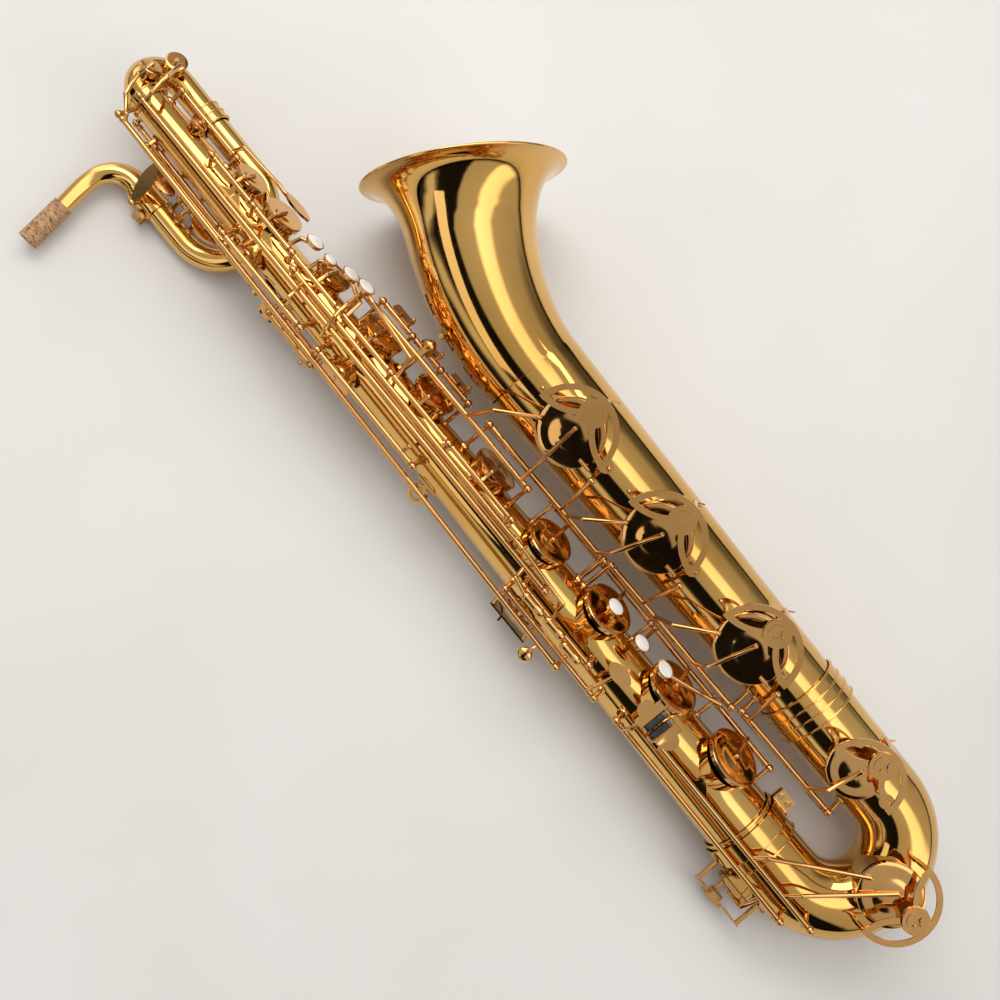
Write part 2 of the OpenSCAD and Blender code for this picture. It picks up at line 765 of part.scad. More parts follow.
module needle_springs() {
  color("steelblue") resting() {
    for (rod = [low_a_rod, low_b_flat_rod, low_b_rod, low_c_sharp_rod, front_f_rod])
      for (p = rod) needle(rod, p.x, [0, -0.8, -0.6]);
    for (rod = [high_e_rod, high_f_rod, low_c_rod, e_flat_rod])
      for (p = rod) needle(rod, p.x, [0, 0.5, -0.85]);
    for (rod = [side_b_rod, side_c_rod])
      needle(rod, rod[1].x, [0, 0.5, -0.85]);
  }
}

// ---------------------------------------------------------------- guards

guard_t = 1.8;
guard_up = 30;
bumper_y = 25;

// A guard seen from above: a half ring, the bumper's seat and a curved spoke from each end to it
module guard_outline(r) {
  seat = bumper_y * r / 42;
  intersection() {
    union() {
      difference() {
        circle(r = r, $fn = 64);
        circle(r = r - 5.5, $fn = 64);
      }
      translate([0, seat]) circle(r = 13);
      translate([-7, seat]) square([14, r - seat - 2]);
      for (s = [-1, 1])
        translate([s * 1.02 * r, 1.14 * r]) difference() {
          circle(r = 1.1 * r + 2.7, $fn = 64);
          circle(r = 1.1 * r - 2.7, $fn = 64);
        }
    }
    circle(r = r, $fn = 64);
    translate([-r, -1]) square([2 * r, r + 2]);
    union() {
      difference() {
        circle(r = r, $fn = 64);
        circle(r = r - 5.5, $fn = 64);
      }
      for (s = [-1, 1])
        translate([s * r / 2, 0]) square([r, 2 * r], center = true);
    }
  }
}

module guard(r, up, foot_side, foot_mid) {
  // Plate
  translate([0, 0, up]) linear_extrude(guard_t) guard_outline(r);
  difference() {
    translate([0, bumper_y * r / 42, up]) cylinder(h = 4.4, r = 12.4);
    translate([0, bumper_y * r / 42, up - 1]) cylinder(h = 8, r = 8.6);
  }
  // Feet at both ends and in the middle of the ring
  for (s = [-1, 1]) {
    translate([s * (r - 2.6), 2, foot_side]) cylinder(h = up - foot_side + 0.5, r = 2.4);
    translate([s * (r + 1), 2, foot_side]) cylinder(h = 1.6, r = 7);
    translate([s * (r + 4.2), 2, foot_side + 1.2]) sphere(r = 2.6, $fn = 24);
  }
  // Three toes spread over the curve of the tube
  for (s = [-1 : 1])
    bar([0, r - 2.6, foot_mid + 3], [8 * s, r + 2.2, foot_mid - 6.5], 1, 0.8);
  translate([0, r - 2.6, foot_mid]) cylinder(h = up - foot_mid + 0.5, r = 2.4);
}

module bumper(r, up) {
  difference() {
    translate([0, bumper_y * r / 42, up - 3]) cylinder(h = 8.2, r = 8.5);
    for (a = [0, 90])
      translate([0, bumper_y * r / 42, up + 4]) rotate([0, 0, a]) cube([1.4, 11, 3], center = true);
    translate([0, bumper_y * r / 42, up + 3]) cylinder(h = 3, r = 3.6, $fn = 6);
  }
}

module bumper_felt(r, up, drop) {
  translate([0, bumper_y * r / 42, up - 3.1 - drop]) cylinder(h = drop, r = 7.5);
}

bell_guard_r = 42;
bell_plate_up = guard_up;

module each_guard() {
  // Children 0, 1 and 2 are drawn for the large, the C sharp and the C guards.
  for (hole = bell_holes)
    on_bell(hole[0], bell_f) translate([0, 0, bell_r(hole[0])]) children(0);
  on_leg_two() translate([3, 0, bow_r]) children(1);
  translate([low_c_at.x, low_c_at.y, bow_r]) rotate([0, 0, -86]) children(2);
  on_body(e_flat_x - 1, e_flat_f) translate([0, 3, bow_r - 1]) rotate([0, 0, 180]) children(3);
}

c_sharp_guard_r = 38;
c_guard_r = 41;
e_flat_guard_r = 30;
c_sharp_plate = 28;
c_plate = 29;
e_flat_plate = 26;

module key_guards() {
  color(brass) resting() {
    each_guard() {
      guard(bell_guard_r, bell_plate_up, -1.2, -26);
      guard(c_sharp_guard_r, c_sharp_plate, -1.2, -20);
      guard(c_guard_r, c_plate, -16, -18);
      guard(e_flat_guard_r, e_flat_plate, -1.2, -10);
    }
  }
}

module guard_bumpers() {
  color(dark_brass) resting() each_guard() {
    bumper(bell_guard_r, bell_plate_up);
    bumper(c_sharp_guard_r, c_sharp_plate);
    bumper(c_guard_r, c_plate);
    bumper(e_flat_guard_r, e_flat_plate);
  }
}

module guard_felts() {
  color(felt_brown) resting() each_guard() {
    bumper_felt(bell_guard_r, bell_plate_up, 2);
    bumper_felt(c_sharp_guard_r, c_sharp_plate, 2);
    bumper_felt(c_guard_r, c_plate, 2);
    bumper_felt(e_flat_guard_r, e_flat_plate, 2);
  }
}

// ---------------------------------------------------------------- fixed hand rests

strap_x = -53;

module strap_ring() {
  color(brass) resting() translate([strap_x, body_y - body_r(strap_x), 0]) {
    translate([-10, 0.6, -4]) rotate([90, 0, 0]) linear_extrude(1.8)
      difference() {
        translate([-2, -2]) square([24, 12]);
        for (dx = [2, 18]) translate([dx, 4]) circle(r = 1.2);
      }
    translate([0, -11.6, 0]) rotate_extrude()
      polygon([[5.6, -0.9], [5.6, 0.9], [6.4, 1.9], [8.6, 1.9], [9.6, 0.9], [9.6, -0.9], [8.6, -1.9],
               [6.4, -1.9]]);
    translate([0, -1.5, 0]) cube([5, 3.4, 3.4], center = true);
  }
}

hook_x = 92;
hook_f = -100;

// A bent strip that crosses over the long rods and holds them together.
module rod_bridge() {
  color(brass) resting()
    arm([low_a_rod[0], [-222, 18.5, 35.5], [-221, 4, 43.5], [-218.5, -10, 47.5], [-216, -24, 44.5],
         [-215, -31, 35], [-215, -31, 17]], 1.7);
}

module thumb_hook() {
  base = body_r(hook_x) - 1;
  color(brass) resting() on_body(hook_x, hook_f) translate([0, 0, base]) {
    translate([-24, -9.5, 20]) cube([48, 16, 1.8]);
    for (s = [-1, 1]) translate([s * 21.5, -2, -1]) cylinder(h = 22, r = 2.4);
    translate([-19, -2, 27]) difference() {
      rotate([90, 0, 0]) cylinder(h = 15, r = 13, center = true);
      rotate([90, 0, 0]) cylinder(h = 17, r = 11.2, center = true);
      translate([-14, -10, -14]) cube([14, 20, 28]);
      translate([-1, -10, 0]) cube([30, 20, 20]);
    }
  }
}

rest_x = -288;
rest_f = -105;

module thumb_rest() {
  color("saddlebrown") resting() on_body(rest_x, rest_f) translate([0, 0, body_r(rest_x) - 0.6])
    rotate_extrude() polygon([[0, 0], [9, 0], [9, 2.4], [7.6, 3.6], [4, 4.4], [0, 4.6]]);
}

// Short chimneys soldered on the curved top bow, and the octave pip on the receiver
high_e_dir = unit([0, 0.48, 0.88]);
high_e_foot = top_at(150);
high_f_dir = unit([-0.1, 0.78, 0.62]);
high_f_foot = top_at(30);
front_f_x = -440;
front_f_f = 62;
front_f_dir = [0, sin(front_f_f), cos(front_f_f)];
front_f_foot = by_body(front_f_x, front_f_f, 0, 0);
front_f_cup = 8;
vent_cup = 10.5;
bow_seat = 20;
pip_x = -440;
pip_dir = unit([0, -0.6, 0.8]);
pip_seat = 17.4;

module vent_chimney(foot, dir, seat, r) {
  towards(foot, foot + dir) translate([0, 0, seat - 8]) difference() {
    cylinder(h = 8, r = r);
    translate([0, 0, -1]) cylinder(h = 10, r = r - wall);
  }
}

module vent_chimneys() {
  color(brass) resting() {
    vent_chimney(high_e_foot, high_e_dir, bow_seat, vent_cup - 2);
    vent_chimney(front_f_foot, front_f_dir, bow_seat - 0.4, front_f_cup - 2);
    vent_chimney(high_f_foot, high_f_dir, bow_seat + 1, vent_cup - 2);
    towards(flat_to_3d(pip_x, loop_far), flat_to_3d(pip_x, loop_far) + pip_dir)
      translate([0, 0, pip_seat - 4.4]) difference() {
        cylinder(h = 4.4, r1 = 3.4, r2 = 2.4);
        translate([0, 0, -1]) cylinder(h = 7, r = 1.2);
      }
  }
}

// ---------------------------------------------------------------- neck

neck_start = flat_to_3d(receiver_x0 - 0.6, loop_far);
cork_top = [-482, -145.5, loop_far.y];
cork_dir = unit([7.5, -49, 0]);
neck_bend = 30;
bend_mid = [neck_start.x - 5, loop_far.x - neck_bend, loop_far.y];
cork_r_in = 8.5;
neck_arc = [for (i = [0 : 12]) let (a = (90 - 4) * i / 12)
            bend_mid + neck_bend * [-sin(a), cos(a), 0]];
neck_path = concat([neck_start], neck_arc,
                   [mix(neck_arc[12], cork_top, 0.3) - [1.2, 0, 0],
                    mix(neck_arc[12], cork_top, 0.65) - [0.9, 0, 0],
                    cork_top, cork_top + cork_dir * cork_len / 2, cork_top + cork_dir * (cork_len - 0.5)]);
neck_r_start = 12.4;
neck_r_end = 8.35;
neck_radii = [for (i = [0 : len(neck_path) - 1])
              let (t = min(1, i / (len(neck_path) - 3))) mix(neck_r_start, neck_r_end, pow(t, 0.9))];

// The neck is swung a little way up about the receiver's axis.
module neck_swung() {
  translate([0, loop_far.x, loop_far.y]) rotate([-neck_turn, 0, 0]) translate([0, -loop_far.x, -loop_far.y])
    children();
}

module neck_tube() {
  color(brass) resting() neck_swung() swept_tube(neck_path, neck_radii, [0, 0, 1], 24);
}

module neck_tenon() {
  color(brass) resting() translate(receiver_mid) rotate([0, 90, 0]) difference() {
    union() {
      translate([0, 0, -0.5]) cylinder(h = 26.5, r = tenon_r);
      translate([0, 0, -3.4]) cylinder(h = 3, r = 13.8);
    }
    translate([0, 0, -4]) cylinder(h = 32, r = tenon_r - wall);
    translate([0, 0, -4]) cylinder(h = 3.3, r = neck_r_start + 0.05);
  }
}

module neck_cork() {
  color(cork_tan) resting() neck_swung() towards(cork_top, cork_top + cork_dir) difference() {
    cylinder(h = cork_len, r = cork_r);
    translate([0, 0, -1]) cylinder(h = cork_len + 2, r = cork_r_in);
  }
}

// ---------------------------------------------------------------- low keys

// An arm of a bell key from its hinge at x_hinge to a place on the cup
module bell_arm(rod, x_hinge, x_cup, cup_x, side) {
  arm([on_rod(rod, x_hinge),
       by_bell(mix(x_hinge, x_cup, 0.3), bell_f, -40, bell_r(cup_x) + chimney_h + cup_h - 0.8),
       by_bell(x_cup, bell_f, side, bell_r(cup_x) + chimney_h + cup_h + 1.2)]);
}

// The link bar that reaches beside the next lower key's cup
module link_bar(rod, x, x_end) {
  arm([on_rod(rod, x), by_bell(x, bell_f, -46, bell_r(x) - 6),
       by_bell(x_end, bell_f, -11, bell_r(x) + 14)]);
  translate(by_bell(x_end, bell_f, -11, bell_r(x) + 14)) sphere(r = 3.3);
}

module bell_key(rod, cup_x, cup_r, x0, x1, arm_left, arm_mid) {
  color(brass) on_hinge(rod, x0, x1, bell_open) {
    on_bell(cup_x, bell_f) translate([0, 0, bell_r(cup_x) + chimney_h]) cup(cup_r);
    bell_arm(rod, arm_left, cup_x - 0.86 * cup_r, cup_x, -0.38 * cup_r);
    bell_arm(rod, arm_mid, cup_x, cup_x, 6);
    bar(by_bell(cup_x + cup_r - 9, bell_f, -9, bell_r(cup_x) + chimney_h + 6.1),
        by_bell(cup_x + cup_r + 4, bell_f, -9, bell_r(cup_x) + chimney_h + 6.1), 1.7, 1.7);
    children();
  }
  color(felt_brown) turned(rod, bell_open) on_bell(cup_x, bell_f)
    translate([0, 0, bell_r(cup_x) + chimney_h]) pad(cup_r);
}

module low_a_key() {
  resting() {
    bell_key(low_a_rod, low_a_x, low_a_cup, -217.8, 3.6, -78, -2);
  }
}

module low_b_flat_key() {
  resting() {
    bell_key(low_b_flat_rod, low_b_flat_x, low_b_flat_cup, -54.8, 96.6, 49, 93)
      link_bar(low_b_flat_rod, 41.4, 37.5);
  }
}

module low_b_key() {
  resting() {
    bell_key(low_b_rod, low_b_x, low_b_cup, 114.4, 274.6, 170.5, 228) link_bar(low_b_rod, 155, 158);
  }
}

module low_c_sharp_key() {
  rod = low_c_sharp_rod;
  top = bow_r + chimney_h + cup_h;
  resting() {
    color(brass) on_hinge(rod, 292.4, 404.6) {
      on_leg_two() translate([0, 0, bow_r + chimney_h]) cup(low_c_sharp_cup);
      arm([on_rod(rod, 380), [384, 62, 44], [low_c_sharp_x + 3, bell_y_low - top * sin(-bell_f) + 3, top]]);
      link_bar(rod, 297, 288);
    }
    color(felt_brown) on_leg_two() translate([0, 0, bow_r + chimney_h]) pad(low_c_sharp_cup);
  }
}

c_touch = [250, -17, 61];
e_flat_touch = [229, -17, 61];

// The plate of a little-finger key, rounded at its outer end, with ears for its roller
module finger_plate(side) {
  difference() {
    union() {
      linear_extrude(2.4) union() {
        square([12, 28], center = true);
        translate([-side * 6, 0]) scale([1, 1]) circle(r = 8.5);
      }
      for (s = [-1, 1]) translate([side * 6.6, s * 12.8, 1.6]) rotate([90, 0, 0])
        cylinder(h = 2.4, r = 3.2, center = true);
    }
    translate([side * 7, 0, 1.6]) cube([8.4, 23.2, 12], center = true);
    translate([side * 6.6, 0, 1.6]) rotate([90, 0, 0]) cylinder(h = 40, r = 1.05, center = true);
  }
}

module roller(touch, side) {
  translate(touch + [side * 6.6, 0, 1.6]) rotate([90, 0, 0]) {
    color("black") rotate_extrude()
      polygon([[0, -11.2], [3, -11.2], [3.5, -9], [3.6, 0], [3.5, 9], [3, 11.2], [0, 11.2]]);
    color(steel) cylinder(h = 28.4, r = 1, center = true);
  }
}

module low_c_key() {
  top = bow_r + chimney_h + cup_h;
  resting() {
    color(brass) on_hinge(low_c_rod, 251.4, 463.6, stack_open) {
      translate([low_c_at.x, low_c_at.y, bow_r + chimney_h]) cup(low_c_cup);
      arm([on_rod(low_c_rod, 386), [394, -16, 53], [low_c_at.x - 24, low_c_at.y - 4, top + 1.2]]);
      arm([on_rod(low_c_rod, 430), [438, -14, 53], [low_c_at.x + 2, low_c_at.y + 6, top + 1.2]]);
      arm([on_rod(low_c_rod, 258), [c_touch.x + 5, -30, 57], c_touch + [2, -10, 0.6]]);
      translate(c_touch) finger_plate(-1);
    }
    color(felt_brown) turned(low_c_rod, stack_open)
      translate([low_c_at.x, low_c_at.y, bow_r + chimney_h]) pad(low_c_cup);
  }
}

module c_roller() {
  resting() turned(low_c_rod, stack_open) roller(c_touch, -1);
}

module e_flat_key() {
  up = bow_r - 1 + chimney_h;
  resting() {
    color(brass) on_hinge(e_flat_rod, 223.4, 446.6) {
      on_body(e_flat_x, e_flat_f) translate([0, 0, up]) cup(e_flat_cup);
      arm([on_rod(e_flat_rod, 425), by_body(422, e_flat_f, e_flat_cup + 3, up + cup_h + 1.4),
           by_body(e_flat_x, e_flat_f, 3, up + cup_h + 1.3)]);
      arm([on_rod(e_flat_rod, 229), [229, -38, 53], e_flat_touch + [-2, -10, -0.6]]);
      translate(e_flat_touch) finger_plate(1);
    }
    color(felt_brown) on_body(e_flat_x, e_flat_f) translate([0, 0, up]) pad(e_flat_cup);
  }
}

module e_flat_roller() {
  resting() roller(e_flat_touch, 1);
}

// ---------------------------------------------------------------- stack keys

// A stack key: cup, pad and one arm. near is -1 where the hinge is on the camera side, else 1.
module stack_key(rod, x, f, r, x0, x1, open, near) {
  color(brass) on_hinge(rod, x0, x1, open) {
    body_cup(x, f, r);
    arm([on_rod(rod, x), by_body(x, f, near * (r + 0.5), cup_top(x) + 1.6),
         by_body(x, f, 0, cup_top(x) + 1.2)]);
    children();
  }
  turned(rod, open) body_pad(x, f, r);
}

module lower_key(x, r, x0, x1) {
  stack_key(lower_stack, x, right_f, r, x0, x1, -stack_open, 1) children();
}

module upper_key(x, r, x0, x1, open) {
  stack_key(upper_stack, x, left_f, r, x0, x1, open, -1) children();
}

d_pearl = by_body(206, right_f, -21, 58);
e_pearl = by_body(178.5, right_f, -7, 46);
f_pearl_up = 49;

// Draws children at p with their Z along the direction f around the body tube.
module facing(p, f) {
  translate(p) rotate([-f, 0, 0]) children();
}

module d_key() {
  resting() {
    lower_key(d_x, d_cup, 272.4, 343.4) {
      arm([on_rod(lower_stack, 275), by_body(268, right_f, 17, 56), by_body(244, right_f, 0, 58),
           d_pearl]);
      facing(d_pearl, right_f) pearl_holder();
    }
    turned(lower_stack, -stack_open) facing(d_pearl, right_f) pearl();
  }
}

module e_key() {
  resting() {
    lower_key(e_x, e_cup, 180.4, 263.6) {
      arm([on_rod(lower_stack, 184), by_body(181, right_f, 24, 45), e_pearl]);
      facing(e_pearl, right_f) pearl_holder();
    }
    turned(lower_stack, -stack_open) facing(e_pearl, right_f) pearl();
  }
}

module f_key() {
  at = by_body(138.5, right_f, -7, f_pearl_up);
  resting() {
    lower_key(f_x, f_cup, 105.4, 171.6) {
      arm([by_body(138.5, right_f, -7, cup_top(f_x) - 1), at]);
      facing(at, right_f) pearl_holder();
    }
    turned(lower_stack, -stack_open) facing(at, right_f) pearl();
  }
}

module f_sharp_key() {
  resting() lower_key(f_sharp_x, f_sharp_cup, 38.4, 96.6);
}

module g_sharp_key() {
  resting() upper_key(g_sharp_x, g_sharp_cup, -63.6, 15.6, 0);
}

upper_pearl_side = -18;
g_pearl = by_body(-222, left_f, upper_pearl_side, 53.8);
a_pearl = by_body(-241, left_f, upper_pearl_side + 6, 47);
bis_pearl = by_body(-262, left_f, upper_pearl_side, 43);
b_pearl = by_body(-283, left_f, upper_pearl_side, 43);

module upper_pearl(p, open, r = pearl_r) {
  turned(upper_stack, open) facing(p, left_f) pearl(r);
}

module g_key() {
  resting() {
    upper_key(g_x, g_cup, -145.6, -72.4, stack_open) {
      arm([on_rod(upper_stack, -143), by_body(-149, left_f, -20, 47), by_body(-208, left_f, -19, 52.6),
           g_pearl]);
      facing(g_pearl, left_f) pearl_holder();
    }
    upper_pearl(g_pearl, stack_open);
  }
}

module a_key() {
  resting() {
    upper_key(a_x, a_cup, -219.4, -154.4, stack_open) {
      arm([on_rod(upper_stack, -214), by_body(-217, left_f, -14, 40), a_pearl]);
      facing(a_pearl, left_f) pearl_holder();
    }
    upper_pearl(a_pearl, stack_open);
  }
}

module bis_key() {
  resting() {
    upper_key(bis_x, bis_cup, -285.6, -228.4, stack_open) {
      arm([on_rod(upper_stack, -270), by_body(-268, left_f, -19, 38), bis_pearl]);
      facing(bis_pearl, left_f) pearl_holder(6);
    }
    upper_pearl(bis_pearl, stack_open, 6);
  }
}

module b_key() {
  resting() {
    upper_key(b_x, b_cup, -340.6, -294.4, stack_open) {
      arm([on_rod(upper_stack, -298), by_body(-294, left_f, -19, 38), b_pearl]);
      facing(b_pearl, left_f) pearl_holder();
    }
    upper_pearl(b_pearl, stack_open);
  }
}

module c_key() {
  resting() upper_key(c_x, c_cup, -399.6, -349.4, stack_open);
}

// ---------------------------------------------------------------- side keys

// A tubular side-key paddle that lies along X with domed ends
module paddle(p, length) {
  translate(p) rotate([0, 90, 0]) {
    cylinder(h = length - 8, r = 4.3, center = true);
    for (s = [-1, 1]) translate([0, 0, s * (length / 2 - 4)]) sphere(r = 4.8);
  }
}

module side_f_sharp_key() {
  at = [186, -15.8, 50];
  resting() {
    color(brass) on_hinge(trill_rod, 69.4, 186.6) {
      body_cup(trill_x, trill_f, trill_cup);
      arm([on_rod(trill_rod, trill_x), by_body(trill_x, trill_f, trill_cup, cup_top(trill_x) + 0.4),
           by_body(trill_x, trill_f, 0, cup_top(trill_x) + 0.9)], 1.6);
      arm([on_rod(trill_rod, 181), [181, -40, 44], at]);
      translate(at) difference() {
        linear_extrude(3) oval(14.5, 7.5);
        translate([0, 0, 1.4]) linear_extrude(3) oval(13.6, 6.6);
      }
    }
    body_pad(trill_x, trill_f, trill_cup);
    color("whitesmoke") translate(at + [0, 0, 1.5]) linear_extrude(2.4) oval(13.4, 6.4);
  }
}

// An oval made of two crossing arcs, a wide and b high from its middle
module oval(a, b) {
  r = (a * a + b * b) / (2 * b);
  intersection() {
    translate([0, r - b]) circle(r = r, $fn = fine);
    translate([0, b - r]) circle(r = r, $fn = fine);
    square([2 * a - 3, 2 * b], center = true);
  }
}

module side_c_lever() {
  at = [118, -34.5, 50];
  resting() color(brass) on_hinge(side_c_long, -272.6, 34.6) {
    arm([on_rod(side_c_long, 31), [31, -12, 51], [45, -11.5, 53], [106, -15, 54.5], [111, -33, 50]], 1.8);
    paddle(at, 24);
    arm([on_rod(side_c_long, -262), [-260, -20, 44], [-258, -30.5, 44.5]], 1.8);
  }
}

module side_c_key() {
  x = side_c_x;
  top = body_r(x) + chimney_h + cup_h;
  resting() {
    color(brass) on_hinge(side_c_rod, -338.6, -237.4) {
      body_cup(x, side_f, side_c_cup);
      arm([on_rod(side_c_rod, x), by_body(x, side_f, 10, top + 1.4), by_body(x, side_f, 0, top + 0.9)], 1.6);
      arm([on_rod(side_c_rod, -256), [-256, -33, 39]], 1.8);
    }
    body_pad(x, side_f, side_c_cup);
  }
}

module side_b_flat_lever() {
  at = [144, -37.5, 47];
  resting() color(brass) on_hinge(side_b_long, 76.4, 159.6) {
    arm([on_rod(side_b_long, 142), at - [0, 1, 0]], 1.8);
    paddle(at, 24);
    arm([on_rod(side_b_long, 80), [80, -37, 37]], 1.8);
  }
}

module side_b_flat_key() {
  x = side_b_flat_x;
  top = body_r(x) + chimney_h + cup_h;
  resting() {
    color(brass) on_hinge(side_b_rod, -203.6, -77.4) {
      body_cup(x, side_f, side_b_flat_cup);
      arm([on_rod(side_b_rod, x), by_body(x, side_f, 10, top + 1.4), by_body(x, side_f, 0, top + 0.9)], 1.6);
      arm([on_rod(side_b_rod, -89), [-88, -32.5, 41]], 1.9);
    }
    body_pad(x, side_f, side_b_flat_cup);
  }
}

// Cup and pad that stand on a chimney of the top bow
module vent_cup_at(foot, dir, seat) {
  towards(foot, foot + dir) translate([0, 0, seat]) children();
}

module high_e_key() {
  top = high_e_foot + high_e_dir * (bow_seat + cup_h + 1);
  resting() {
    color(brass) on_hinge(high_e_rod, -481.6, 83.6) {
      vent_cup_at(high_e_foot, high_e_dir, bow_seat) cup(vent_cup);
      arm([on_rod(high_e_rod, -477), [-479, -10, 37], [-484, 10, 31], [-492, 25, 14], top]);
      arm([on_rod(high_e_rod, 60), [62, -33, 47], [79, -36, 47.5]]);
      paddle([90, -36, 47.5], 26);
    }
    color(felt_brown) vent_cup_at(high_e_foot, high_e_dir, bow_seat) pad(vent_cup);
  }
}

module high_f_sharp_key() {
  top = high_f_foot + high_f_dir * (bow_seat + 1 + cup_h + 1);
  resting() {
    color(brass) on_hinge(high_f_rod, -483.6, 143.6) {
      vent_cup_at(high_f_foot, high_f_dir, bow_seat + 1) cup(vent_cup);
      arm([on_rod(high_f_rod, -479), [-481, -40, 31], [-497, -29, 28], [-505, -9, 25], top]);
      arm([on_rod(high_f_rod, 124), [122, -62, 27], [122, -68, 23]]);
      translate([122, -71, 21]) teardrop(7, 4);
    }
    color(felt_brown) vent_cup_at(high_f_foot, high_f_dir, bow_seat + 1) pad(vent_cup);
  }
}

// A small domed touch
module teardrop(r, h) {
  rotate_extrude() polygon([[0, 0], [0.8 * r, 0], [r, 0.3 * h], [0.85 * r, 0.7 * h], [0.4 * r, h], [0, h]]);
}

front_touch = [-323, 25, 17];

module front_f_key() {
  seat = bow_seat - 0.4;
  resting() {
    color(brass) on_hinge(front_f_rod, -471.6, -400.4) {
      vent_cup_at(front_f_foot, front_f_dir, seat) cup(front_f_cup);
      arm([on_rod(front_f_rod, front_f_x), front_f_foot + front_f_dir * (seat + cup_h + 1)]);
      arm([on_rod(front_f_rod, -404), [-396, 23, 15], [-350, 26, 17], front_touch + [-8, 0, 1]]);
      translate(front_touch) rotate([-62, 0, 0]) linear_extrude(2.6) oval(18, 6.5);
    }
    color(felt_brown) vent_cup_at(front_f_foot, front_f_dir, seat) pad(front_f_cup);
  }
}

// ---------------------------------------------------------------- left-hand side keys

module palm_touch(p, f) {
  facing(p, f) difference() {
    linear_extrude(3) oval(17, 8);
    translate([0, 0, 20.2]) sphere(r = 18.6, $fn = fine);
  }
}

module palm_d_key() {
  x = palm_d_x;
  touch = [-372, -54, -16];
  resting() {
    color(brass) on_hinge(palm_d_rod, -481.6, -364.4) {
      body_cup(x, palm_f, palm_cup);
      arm([on_rod(palm_d_rod, x - 8), by_body(x - 4, palm_f, palm_cup + 4, cup_top(x) + 0.6),
           by_body(x, palm_f, 0, cup_top(x) + 1.2)]);
      arm([on_rod(palm_d_rod, touch.x + 3), touch + [0, 1.5, 1]]);
      palm_touch(touch, -150);
    }
    body_pad(x, palm_f, palm_cup);
  }
}

module palm_e_flat_key() {
  x = palm_e_x;
  touch = [-436, -56, -30];
  resting() {
    color(brass) on_hinge(palm_e_rod, -447.6, -398.4) {
      body_cup(x, palm_f, palm_cup);
      arm([on_rod(palm_e_rod, x - 4), by_body(x - 2, palm_f, palm_cup + 2, cup_top(x) + 1.4),
           by_body(x, palm_f, 0, cup_top(x) + 1.2)]);
      arm([on_rod(palm_e_rod, touch.x), touch + [0, 1.5, 1]]);
      palm_touch(touch, -160);
    }
    body_pad(x, palm_f, palm_cup);
  }
}

module octave_lever() {
  touch = [-290, -51, -8];
  resting() color(brass) on_hinge(octave_rod, -264.6, -211.4) {
    arm([on_rod(octave_rod, -262), [-263, -56.5, -7], touch, [-340, -53.5, -8]]);
    facing(touch, -100) linear_extrude(2.4) difference() {
      circle(r = 13);
      circle(r = 9.8);
      translate([2, -15]) square([14, 30]);
    }
    arm([on_rod(octave_rod, -215), [-215, -63, 1]]);
  }
}

spoon_end = flat_to_3d(pip_x, loop_far) + pip_dir * (pip_seat + 4.5);
spoon_l = norm(spoon_end - on_rod(vent_rod, pip_x));

module octave_vent_key() {
  tip = flat_to_3d(pip_x, loop_far);
  resting() {
    color(brass) on_hinge(vent_rod, -453.6, -346.4) {
      towards(on_rod(vent_rod, pip_x), spoon_end) translate([1, 0, spoon_l / 2])
        rotate([0, -90, 0]) linear_extrude(2) oval(spoon_l / 2 + 2, 7);
      translate(spoon_end) sphere(r = 3.6);
      arm([on_rod(vent_rod, -350), [-346, -53, -1.6], [-339, -53.5, -2.8]], 1.8);
    }
    color(cork_tan) towards(tip, tip + pip_dir) translate([0, 0, pip_seat + pad_gap])
      cylinder(h = 2.2, r = 3.2);
  }
}

water_x = -401;
water_f = 41.7;

// Draws children on the loop's leg over the water hole.
module on_leg() {
  translate(flat_to_3d(water_x, loop_far)) rotate([-water_f, 0, 0]) translate([0, 0, loop_r]) children();
}

module water_key() {
  resting() {
    color(brass) on_hinge(water_rod, -410.6, -393.4) {
      on_leg() translate([0, 0, 3.6]) cylinder(h = 2.4, r = 4.4);
      arm([on_rod(water_rod, water_x), [water_x, -54, -30], [water_x, -61.5, -29.4]], 1.8);
      arm([on_rod(water_rod, -397), [-397, -47, -38], [-386, -44, -38]], 1.8);
    }
    color(cork_tan) on_leg() translate([0, 0, 0.4]) cylinder(h = 2.9, r = 3.6);
  }
}

// Left little-finger levers, which drive the low C sharp, B and B flat keys
module table_lever(x0, x1, plate_x) {
  resting() color(brass) on_hinge(table_rod, x0, x1) {
    arm([on_rod(table_rod, plate_x), [plate_x, 39, -14], [plate_x, 41, -20]]);
    translate([plate_x, 40, -22]) rotate([-70, 0, 0]) translate([-12, -6, -1.2]) cube([24, 14, 2.4]);
    arm([on_rod(table_rod, x1 - 6), [x1 - 6, 44, -3]], 1.8);
  }
}

module c_sharp_lever() {
  table_lever(-207.6, -173.4, -192);
}

module b_lever() {
  table_lever(-164.6, -132.4, -150);
}

module b_flat_lever() {
  table_lever(-123.6, -92.4, -108);
}

module low_a_lever() {
  resting() color(brass) on_hinge(low_a_thumb_rod, -257.6, -219.4) {
    arm([on_rod(low_a_thumb_rod, -252), [-262, -56, -26], [-270, -58, -28]]);
    facing([-276, -58, -28], -120) linear_extrude(2.4) oval(13, 7);
  }
}

